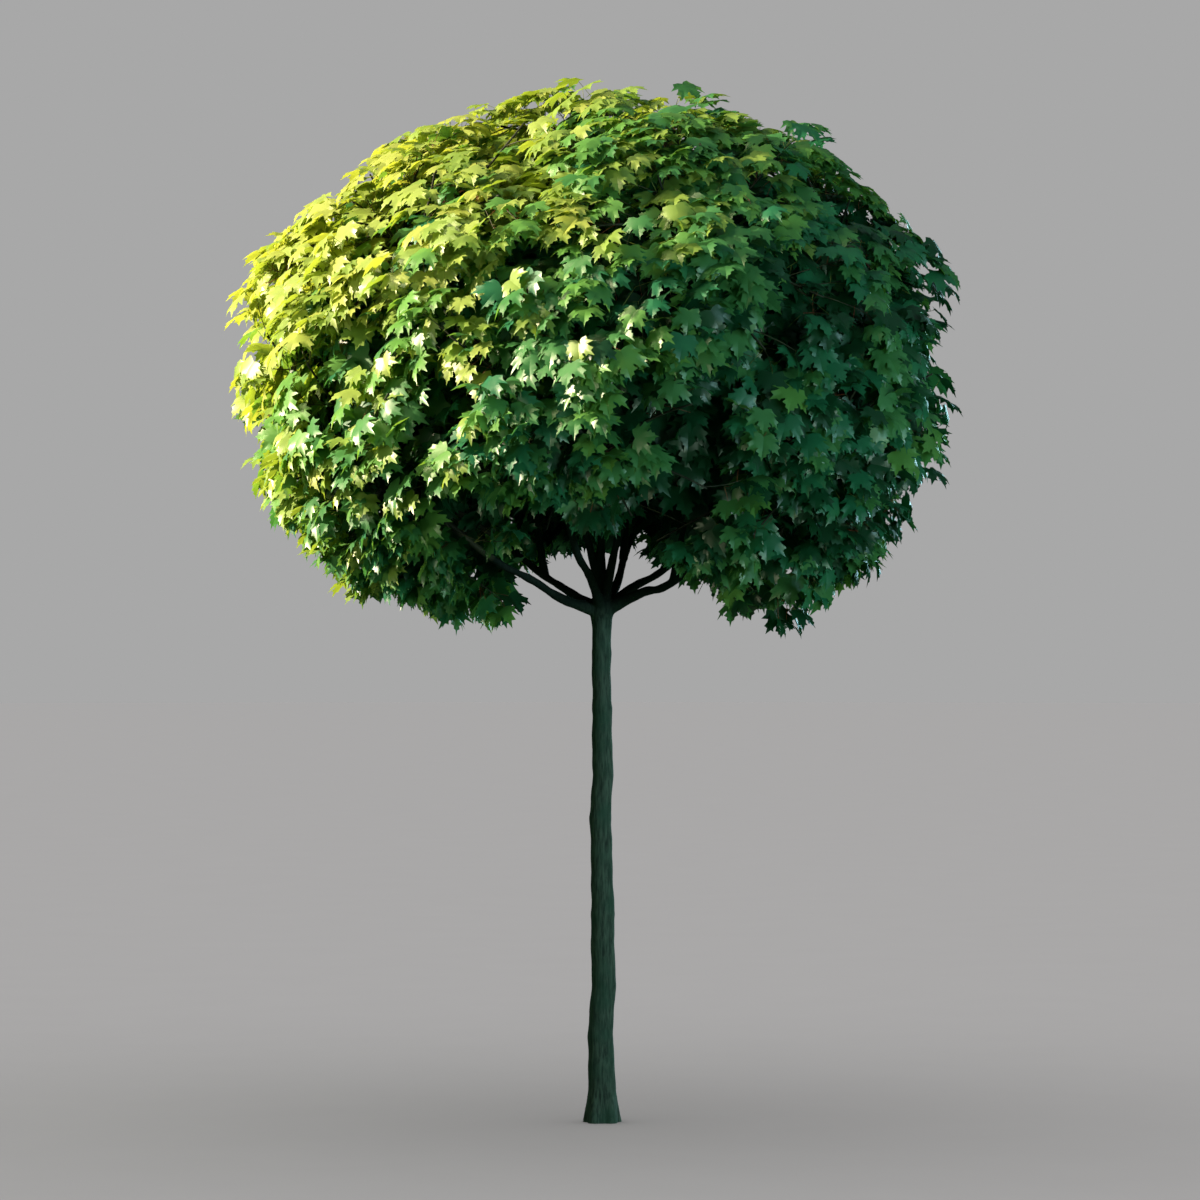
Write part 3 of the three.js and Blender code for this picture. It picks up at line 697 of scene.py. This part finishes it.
# the tints run from the yellowest to the darkest, and are dealt out partly by chance and partly as painted
# light and painted shade: yellower towards the key lamp, bluer and darker on the shaded side and inside the
# crown
# name: upper side, and the brighter colour of light that has come through the blade
LEAF_TINTS = {
    "sun_yellow": ("#8f9a4c", "#bcc840"),
    "young_lime": ("#84964a", "#a8bc38"),
    "fresh_green": ("#738c40", "#98b032"),
    "summer_green": ("#52823e", "#7ca634"),
    "full_green": ("#3a7040", "#6a9a34"),
    "blue_green": ("#1f6244", "#4a883c"),
    # the darkest tint: painted shade for leaves inside the crown and on its shaded side
    "painted_shade_green": ("#0b3c23", "#195426"),
}
THROUGH_SHARE = 0.34  # the share of a blade's light that comes through from behind it
BLOTCH = 0.0625  # how wide the lighter and darker blotches are, from leaf to leaf and within a leaf
BLOTCH_TONES = (0.72, 1.25)  # the darkest and the lightest, against the tint itself


def leaf_material(name, upper, through):
    """A maple leaf: a thin blade whose wax gives a soft broad gloss. A third of the light comes through."""
    material, tree = new_material("leaf_" + name)
    place = add_node(tree, "TexCoord").outputs["Object"]
    blotch = add_node(tree, "TexNoise", {"Scale": 1 / BLOTCH, "Detail": 2.0}, {"Vector": place})
    tones = [[min(tone * c, 1.0) for c in linear(upper)[:3]] + [1.0] for tone in BLOTCH_TONES]
    colour = mixed(tree, blotch.outputs["Fac"], *tones)
    wax = {"Roughness": 0.40, "IOR": 1.45, "Specular IOR Level": 0.72}
    blade = add_node(tree, "BsdfPrincipled", wax, {"Base Color": colour})
    glow = add_node(tree, "BsdfTranslucent", {"Color": linear(through)})
    both = add_node(tree, "MixShader", {"Fac": THROUGH_SHARE}, {1: blade.outputs[0], 2: glow.outputs[0]})
    add_node(tree, "OutputMaterial", links={"Surface": both.outputs[0]})
    return material


def shoot_material(name, low, high, roughness):
    """Young wood and leaf stalks: smooth thin bark, a little varied along its length."""
    material, tree = new_material(name)
    place = add_node(tree, "TexCoord").outputs["Object"]
    # lighter and darker stretches about 45 mm long
    noise = add_node(tree, "TexNoise", {"Scale": 22.0, "Detail": 3.0}, {"Vector": place})
    ramp = add_node(tree, "ValToRGB", links={"Fac": noise.outputs["Fac"]})
    set_stops(ramp, (0.35, low), (0.65, high))
    gloss = {"Roughness": roughness, "Specular IOR Level": 0.25}
    wood = add_node(tree, "BsdfPrincipled", gloss, {"Base Color": ramp.outputs["Color"]})
    add_node(tree, "OutputMaterial", links={"Surface": wood.outputs[0]})
    return material


def bark_material():
    """Young maple bark: matt, grey-green, with shallow upright furrows and a film of green algae."""
    material, tree = new_material("young_maple_bark")
    place = add_node(tree, "TexCoord").outputs["Object"]
    # furrows 9 mm apart round the stem and some 70 mm long
    upright = add_node(tree, "Mapping", {"Scale": (110.0, 110.0, 14.0)}, {"Vector": place})
    ragged = {"Scale": 1.0, "Detail": 5.0, "Roughness": 0.6}
    furrow = add_node(tree, "TexNoise", ragged, {"Vector": upright.outputs[0]})
    ramp = add_node(tree, "ValToRGB", links={"Fac": furrow.outputs["Fac"]})
    set_stops(ramp, (0.36, "#3b4137"), (0.62, "#6d7563"))
    # patches of algae a hand across
    patch = add_node(tree, "TexNoise", {"Scale": 9.0, "Detail": 4.0}, {"Vector": place})
    film = faded(tree, patch.outputs["Fac"], 0.42, 0.66, 0.75)
    green = mixed(tree, film, ramp.outputs["Color"], linear("#445d4a"))
    # lenticels: level dashes about 12 mm long and 3 mm high
    level = add_node(tree, "Mapping", {"Scale": (85.0, 85.0, 330.0)}, {"Vector": place})
    dash = add_node(tree, "TexNoise", {"Scale": 1.0, "Detail": 1.0}, {"Vector": level.outputs[0]})
    mark = faded(tree, dash.outputs["Fac"], 0.66, 0.72, 0.55)
    dotted = mixed(tree, mark, green, linear("#6b6a58"))
    # painted shade: the boughs under the leaves are painted almost black, standing in for the crown's shadow
    # on them
    height = add_node(tree, "SeparateXYZ", links={"Vector": place}).outputs["Z"]
    painted_crown_shade = mixed(tree, faded(tree, height, 2.16, 2.28, 0.82), dotted, linear("#0c130e"))
    relief = {"Strength": 0.6, "Distance": 0.002}
    bump = add_node(tree, "Bump", relief, {"Height": furrow.outputs["Fac"]})
    gloss = {"Roughness": 0.85, "Specular IOR Level": 0.3}
    bark = add_node(tree, "BsdfPrincipled", gloss, {"Base Color": painted_crown_shade, "Normal": bump.outputs[0]})
    add_node(tree, "OutputMaterial", links={"Surface": bark.outputs[0]})
    return material


# Trunk and boughs, in one skin of bark

TRUNK_SIDES = 28
LIMB_SIDES = 14
RING_STEP = 0.03
TOP_RING = 2.2
# height and swell of the collar where each old shoot was cut away, and how far up and down it fades out
SCARS = ((0.37, 0.0022), (0.91, 0.003), (1.33, 0.0032), (1.56, 0.0015), (1.81, 0.0028), (2.05, 0.002))
SCAR_FADE = 0.022
TRUNK_WAVES = ((0.0012, 21, 1), (0.001, 47, 0))  # size, run and phase of the waves in its axis
COLLAR_SWELL = 0.50  # how much thicker a limb is where it leaves its host
COLLAR_LENGTH = 0.13
KNUCKLES = ((0.05, 38, 90), (0.03, 83, 0))  # swell, run and shift by place of the waves along a limb
ROOT_SWELLINGS = 5
FIRST_SWELLING = 20  # its azimuth
SWELLING_RADII = (0.034, 0.006)
SWELLING_LENGTH = 0.30
SWELLING_OFFSET = 0.047  # from the trunk's axis
SWELLING_LEAN = 0.08  # towards it, in radians
SKIN_GRID = 0.0055  # the skin's faces are about this wide
# width, strength and upright stretch of the bark's relief: broad waves, then furrows
RELIEFS = ((0.06, 0.004, 2.2), (0.009, 0.0013, 6.0))


def heading_at(path, k):
    return Vector(path[min(k + 1, len(path) - 1)] - path[max(k - 1, 0)]).normalized()


def extrude_limb(path, radii, sides):
    """A limb drawn out of a round end ring by ring, each one moved, sized and turned to the wood there."""
    heading = heading_at(path, 0)
    bpy.ops.mesh.primitive_circle_add(
        vertices=sides,
        radius=radii[0],
        fill_type="NGON",
        location=path[0],
        rotation=Vector((0, 0, 1)).rotation_difference(heading).to_euler(),
    )
    limb = bpy.context.active_object
    bpy.ops.object.mode_set(mode="EDIT")
    bpy.ops.mesh.select_all(action="SELECT")
    for k in range(1, len(path)):
        here = Vector(path[k])
        bpy.ops.mesh.extrude_region_move(TRANSFORM_OT_translate={"value": here - Vector(path[k - 1])})
        size = radii[k] / radii[k - 1]
        bpy.ops.transform.resize(value=(size, size, size), center_override=here)
        turned = heading_at(path, k)
        for axis, angle in zip("XYZ", heading.rotation_difference(turned).to_euler("XYZ")):
            if abs(angle) > 1e-4:
                bpy.ops.transform.rotate(value=-angle, orient_axis=axis, center_override=here)
        heading = turned
    bpy.ops.object.mode_set(mode="OBJECT")
    bpy.ops.object.transform_apply(location=True, rotation=True, scale=True)
    return limb


def trunk_path():
    """The trunk's rings, with a slight collar where each old shoot was cut away."""
    stations = np.array(TRUNK_STATIONS)
    heights = np.unique(np.concatenate([np.arange(stations[0, 0], TOP_RING, RING_STEP), stations[:, 0]]))
    radii = np.interp(heights, stations[:, 0], stations[:, 1])
    wander = np.interp(heights, stations[:, 0], stations[:, 2])
    for height, swell in SCARS:
        radii = radii + swell * np.exp(-(((heights - height) / SCAR_FADE) ** 2))
    wobble = sum(size * np.sin(heights * run + phase) for size, run, phase in TRUNK_WAVES)
    return np.stack([wander + wobble, 0.6 * wobble, heights], axis=1), radii


def knuckled(path, radii):
    """A limb's radii with a collar at its root and slight knuckles along it."""
    gone = gone_along(path)
    collar = 1 + COLLAR_SWELL * np.exp(-((gone / COLLAR_LENGTH) ** 2))
    waves = (swell * np.sin(gone * run + path[0, 0] * shift) for swell, run, shift in KNUCKLES)
    return radii * collar * sum(waves, 1)


def root_swelling(k):
    """A low root swelling, leaning on the foot of the trunk."""
    turn = math.radians(360 / ROOT_SWELLINGS * k + FIRST_SWELLING)
    east, north = math.cos(turn), math.sin(turn)
    bpy.ops.mesh.primitive_cone_add(
        vertices=12,
        radius1=SWELLING_RADII[0],
        radius2=SWELLING_RADII[1],
        depth=SWELLING_LENGTH,
        location=(SWELLING_OFFSET * east, SWELLING_OFFSET * north, 0.4 * SWELLING_LENGTH),
        rotation=(SWELLING_LEAN * north, -SWELLING_LEAN * east, 0),
    )
    return bpy.context.active_object


def select_only(*pieces):
    """Leaves these alone selected, and the first of them active."""
    bpy.ops.object.select_all(action="DESELECT")
    for piece in pieces:
        piece.select_set(True)
    bpy.context.view_layer.objects.active = pieces[0]


def apply_modifiers(piece):
    select_only(piece)
    for modifier in list(piece.modifiers):
        bpy.ops.object.modifier_apply(modifier=modifier.name)


def press_relief(piece, size, strength, stretch):
    """Relief in the piece's own surface from clouds that an empty, removed afterwards, stretches upright."""
    clouds = bpy.data.textures.new("relief", "CLOUDS")
    clouds.noise_scale = size
    clouds.noise_depth = 2
    bpy.ops.object.empty_add()
    guide = bpy.context.active_object
    guide.scale = (1, 1, stretch)
    bpy.context.view_layer.update()
    modifier = piece.modifiers.new("relief", "DISPLACE")
    modifier.texture = clouds
    modifier.texture_coords = "OBJECT"
    modifier.texture_coords_object = guide
    modifier.strength = strength
    modifier.mid_level = 0.5
    apply_modifiers(piece)
    bpy.data.objects.remove(guide)


def make_trunk_and_boughs(limbs, bark):
    wood = [extrude_limb(*trunk_path(), TRUNK_SIDES)]
    wood += [extrude_limb(path, knuckled(path, radii), LIMB_SIDES) for path, radii in limbs.values()]
    wood += [root_swelling(k) for k in range(ROOT_SWELLINGS)]
    select_only(*wood)
    bpy.ops.object.join()
    skin = bpy.context.active_object
    skin.name = "trunk_and_boughs"
    remesh = skin.modifiers.new("skin", "REMESH")
    remesh.mode = "VOXEL"
    remesh.voxel_size = SKIN_GRID
    soften = skin.modifiers.new("soften", "SMOOTH")
    soften.factor = 0.5
    soften.iterations = 4
    apply_modifiers(skin)
    for relief in RELIEFS:
        press_relief(skin, *relief)
    # the foot is cut flat at the ground
    bpy.ops.object.mode_set(mode="EDIT")
    bpy.ops.mesh.select_all(action="SELECT")
    bpy.ops.mesh.bisect(plane_co=(0, 0, 0), plane_no=(0, 0, 1), use_fill=True, clear_inner=True)
    bpy.ops.object.mode_set(mode="OBJECT")
    bpy.ops.object.shade_smooth_by_angle(angle=math.radians(50))
    skin.data.materials.clear()
    skin.data.materials.append(bark)
    return skin


# Twigs, stalks and leaves, each kind joined

# painted light and painted shade in the leaf tints: this way points at the key lamp, leaves facing it are
# dealt yellower tints, and those facing away darker ones
SUNNY_WAY = np.array([-0.95, 0.0, 0.40])
TOP_SUN = 0.40  # the top gets this much more
SHADE_RANK = 0.335  # the rank, before chance, of a leaf that faces neither to the sun nor from it
SUN_GAIN, SHADE_LOSS = 0.48, 0.20  # what facing to the sun adds, and facing away takes off
SPRAY_CHANCE, LEAF_CHANCE = 0.18, 0.46  # how much chance shifts a whole spray, and a leaf in it
# painted shade: leaves inside the crown are dealt darker tints, less so on the sunny side
INNER_PAINTED_SHADE, SUNNY_RELIEF = 0.90, 0.35  # what being inside takes off, and how much less on the sunny side
SUNNY_FADE = (0.1, 0.7)  # the sun from which that side starts, and from which it is whole
INNER_FADE = (0.15, 0.42)  # and the like depths for the inside
RED_SHARE = 0.4  # this share of the sprays has red stalks
MOST_TRIANGLES = 199000  # in one piece


def deal_tints(leaves):
    """Each leaf's tint, by a rank from 1, the yellowest, to 0, dealt out by the number of its spray.

    It is painted light and painted shade: yellower where the key lamp's light falls most, at the top and the
    left, and a darker green inside the crown.
    """
    spray, out = leaves["spray"], leaves["out"]
    sun = out @ SUNNY_WAY + TOP_SUN * np.maximum(out[:, 2], 0)
    rank = SHADE_RANK + SUN_GAIN * np.maximum(sun, 0) + SHADE_LOSS * np.minimum(sun, 0)
    whole_spray = chance(spray + 5.1) - 0.5
    within_spray = chance(spray + 3 * leaves["form"] + 1.9) - 0.5
    rank += SPRAY_CHANCE * whole_spray + LEAF_CHANCE * within_spray
    inner_painted_shade = INNER_PAINTED_SHADE - SUNNY_RELIEF * smooth(*SUNNY_FADE, sun)
    rank -= inner_painted_shade * smooth(*INNER_FADE, leaves["inset"])
    return np.clip(np.floor((1 - rank) * len(LEAF_TINTS)), 0, len(LEAF_TINTS) - 1).astype(int)


def make_twigs(stems, twigs, shoots):
    twig_wood = shoot_material("two_year_wood", "#13160f", "#282b1e", 0.7)
    young_wood = shoot_material("young_shoot", "#1b1f14", "#35341f", 0.55)
    stem_tubes = [tubes(path[None], radii[None], 8) for path, radii in stems]
    twig_radii = np.tile(np.linspace(*TWIG_RADII, TWIG_STEPS), (len(twigs), 1))
    shoot_radii = np.tile(np.linspace(*SHOOT_RADII, SHOOT_STEPS), (len(shoots), 1))
    return [
        joined_mesh("twigs", *together([*stem_tubes, tubes(twigs, twig_radii, 6)]), twig_wood),
        joined_mesh("shoots", *tubes(shoots, shoot_radii, 4), young_wood),
    ]


def make_stalks(leaves):
    stalks = np.stack([leaves["root"], leaves["end"]], axis=1)
    red = chance(leaves["spray"] + 7.7) < RED_SHARE
    red_stalk = shoot_material("red_leaf_stalk", "#5a281c", "#763e28", 0.5)
    green_stalk = shoot_material("green_leaf_stalk", "#596430", "#7c8038", 0.5)
    pieces = []
    for name, chosen, finish in (("red_stalks", red, red_stalk), ("green_stalks", ~red, green_stalk)):
        some = stalks[chosen]
        radii = np.full(some.shape[:2], STALK_RADIUS)
        pieces.append(joined_mesh(name, *tubes(some, radii, 3), finish))
    return pieces


def make_blades(leaves):
    """A piece for each tint, or more where it has too many leaves for one."""
    tint = deal_tints(leaves)
    most = MOST_TRIANGLES // len(LEAF_FACES)
    pieces = []
    for k, (name, (upper, through)) in enumerate(LEAF_TINTS.items()):
        some = leaves["corners"][tint == k]
        finish = leaf_material(name, upper, through)
        for part, start in enumerate(range(0, len(some), most)):
            batch = some[start : start + most]
            faces = copies(LEAF_FACES, len(batch), batch.shape[1])
            label = f"leaves_{name}" + (f"_{part + 1}" if len(some) > most else "")
            pieces.append(joined_mesh(label, batch.reshape(-1, 3), faces, finish))
    return pieces


# Making

limbs = limb_paths()
skin = make_trunk_and_boughs(limbs, bark_material())
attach(skin, "root")
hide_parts("trunk", *limbs)

stems = stem_paths(limbs)
twigs = twig_paths(stems)
shoots, outward, seed, depth = shoot_paths(twigs)
leaves = grow_leaves(shoots, outward, seed, depth)
leaves["corners"] = lay_leaves(leaves)
draw_back(leaves)
keep = in_the_clear(leaves, limbs)
leaves = {key: column[keep] for key, column in leaves.items()}

pieces = [*make_twigs(stems, twigs, shoots), *make_stalks(leaves), *make_blades(leaves)]
for piece in pieces:
    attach(piece, "root")
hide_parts(*MASSES)

# Studio: a plain pale floor that runs on to the horizon, a warm low sun from the left and a cool soft sky

FLOOR_RADIUS = 90.0
KEY_WAY = Vector((-0.90, -0.09, 0.34)).normalized()
KEY_DISTANCE = 26.0
KEY_STRENGTH = 5.15
KEY_AIM = Vector((-0.02, 0.0, 3.36))
KEY_SPREAD = 2.3  # radius of the pool of light at the crown
BOX_WIDTH = 3.5
BOX_AIM = Vector((0, 0, 3.0))


def make_floor():
    bpy.ops.mesh.primitive_circle_add(vertices=96, radius=FLOOR_RADIUS, fill_type="NGON")
    floor = bpy.context.active_object
    floor.name = "floor"
    finish, tree = new_material("pale_floor")
    place = add_node(tree, "TexCoord").outputs["Object"]
    # faint cloudy patches half a metre across
    cloud = add_node(tree, "TexNoise", {"Scale": 2.0, "Detail": 3.0}, {"Vector": place})
    shade = mixed(tree, cloud.outputs["Fac"], linear("#bfb5b7"), linear("#c2b8ba"))
    matt = add_node(tree, "BsdfDiffuse", links={"Color": shade})
    # pale to look at, it throws only a little dark green light back up at the leaves
    bounce = add_node(tree, "BsdfDiffuse", {"Color": linear("#3c5a44")})
    seen = add_node(tree, "LightPath").outputs["Is Camera Ray"]
    ground = add_node(tree, "MixShader", links={"Fac": seen, 1: bounce.outputs[0], 2: matt.outputs[0]})
    add_node(tree, "OutputMaterial", links={"Surface": ground.outputs[0]})
    floor.data.materials.append(finish)
    return floor


def lit_group(name, members):
    """A collection of the pieces that a lamp shines on."""
    group = bpy.data.collections.new(name)
    for piece in members:
        group.objects.link(piece)
    return group


def add_lamp(name, kind, settings, lit, place=(0, 0, 0), way=(0, 0, 1)):
    """A lamp that shines on one group alone. Its way points from what it lights back to the lamp."""
    lamp_data = bpy.data.lights.new(name, kind)
    for key, value in settings.items():
        setattr(lamp_data, key, value)
    lamp = bpy.data.objects.new(name, lamp_data)
    lamp.location = place
    lamp.rotation_euler = Vector(way).to_track_quat("Z", "Y").to_euler()
    lamp.light_linking.receiver_collection = lit
    scene.collection.objects.link(lamp)
    return lamp


def make_sky():
    """A plain grey backdrop to look at, and a cool fill for the tree that is stronger from overhead."""
    world = bpy.data.worlds.new("studio")
    scene.world = world
    world.use_nodes = True
    tree = world.node_tree
    tree.nodes.clear()
    toward = add_node(tree, "TexCoord")
    axes = add_node(tree, "SeparateXYZ", links={"Vector": toward.outputs["Generated"]})
    overhead = faded(tree, axes.outputs["Z"], 0.0, 1.0, 0.36, least=0.05)
    fill = add_node(tree, "Background", {"Color": (0.44, 0.75, 0.66, 1.0)}, {"Strength": overhead})
    backdrop = add_node(tree, "Background", {"Color": linear("#a8a8a8"), "Strength": 1.0})
    seen = add_node(tree, "LightPath").outputs["Is Camera Ray"]
    choose = add_node(tree, "MixShader", links={"Fac": seen, 1: fill.outputs[0], 2: backdrop.outputs[0]})
    add_node(tree, "OutputWorld", links={"Surface": choose.outputs[0]})


floor = make_floor()

# the key lamp stands low on the left, a little in front, and shines on the crown alone
crown = lit_group("lit_by_the_key", pieces)
key_settings = {
    "energy": KEY_STRENGTH * 4 * math.pi**2 * KEY_DISTANCE**2,
    "shadow_soft_size": 0.35,
    "spot_size": 2 * math.atan(KEY_SPREAD / KEY_DISTANCE),
    "spot_blend": 0.25,
    "color": (1.0, 0.81, 0.57),
}
add_lamp("warm_key", "SPOT", key_settings, crown, KEY_AIM + KEY_WAY * KEY_DISTANCE, KEY_WAY)

# an even wash for the floor alone
wash_settings = {"energy": 2.00, "angle": math.radians(120)}
add_lamp("floor_wash", "SUN", wash_settings, lit_group("lit_by_the_wash", [floor]))

# soft boxes: cool ones in front and behind, a low one for the skirt, and warm ones at the left and overhead
whole_tree = lit_group("lit_by_the_boxes", [skin, *pieces])
# name: place, energy, colour, and what it lights
SOFT_BOXES = {
    "front_soft_box": ((9.0, -9.0, 4.8), 600, (0.40, 0.75, 0.84), whole_tree),
    "back_soft_box": ((6.5, 10.5, 4.8), 640, (0.40, 0.75, 0.84), whole_tree),
    "low_soft_box": ((6.0, -8.8, 0.9), 660, (0.62, 0.85, 0.68), crown),
    "left_soft_box": ((-11.0, -6.0, 1.6), 600, (0.84, 0.86, 0.56), crown),
    "top_soft_box": ((-6.5, -3.0, 10.0), 900, (1.0, 0.92, 0.52), crown),
}
for name, (place, energy, colour, lit) in SOFT_BOXES.items():
    box_settings = {"shape": "DISK", "size": BOX_WIDTH, "energy": energy, "color": colour}
    box = add_lamp(name, "AREA", box_settings, lit, place, Vector(place) - BOX_AIM)
    box.visible_camera = False

make_sky()
